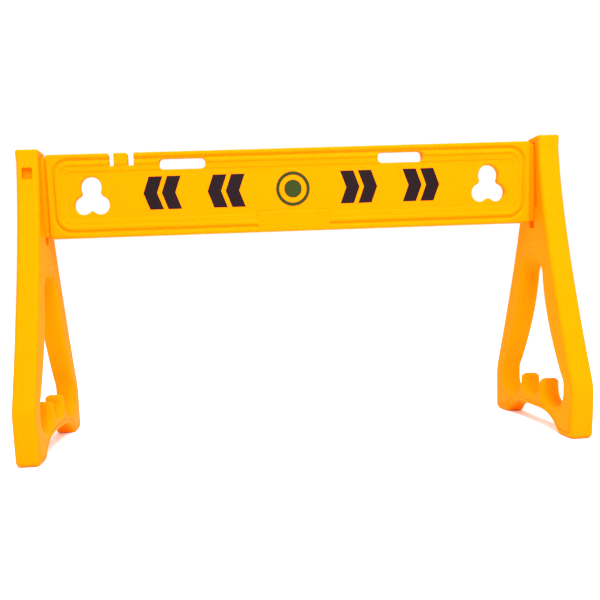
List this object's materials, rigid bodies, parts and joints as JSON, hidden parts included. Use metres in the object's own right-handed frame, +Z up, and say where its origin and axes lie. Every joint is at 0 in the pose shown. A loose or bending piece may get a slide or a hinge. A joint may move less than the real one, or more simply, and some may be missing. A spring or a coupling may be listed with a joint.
{
  "type": "type three barricade",
  "caption": "Yellow plastic one-rail barricade: a moulded board with hand slots and trefoil holes, plugged into A-shaped legs with saddle crossbars.",
  "frame": {"origin": "on the floor under the middle of the board", "axes": "+X along the board to the right as seen from the front, -Y towards the front, +Z up"},
  "size_m": [1.2, 0.3496, 0.66],
  "materials": {
    "yellow_plastic": "blow-moulded polyethylene, satin, safety yellow right through",
    "black_print": "screen-printed black ink film",
    "green_print": "screen-printed dark green ink film"
  },
  "bodies": {
    "board": {"board": "yellow_plastic", "mark_far_left": "black_print", "mark_near_left": "black_print", "mark_near_right": "black_print", "mark_far_right": "black_print", "roundel_ring": "green_print", "roundel_disc": "green_print"},
    "left_leg": {"left_leg": "yellow_plastic"},
    "right_leg": {"right_leg": "yellow_plastic"}
  },
  "joints": [
    {"name": "left_leg_pull", "type": "slide", "parent": "board", "child": "left_leg", "axis": [-1, 0, 0], "range_m": [0, 0.04]},
    {"name": "right_leg_pull", "type": "slide", "parent": "board", "child": "right_leg", "axis": [1, 0, 0], "range_m": [0, 0.04]}
  ]
}
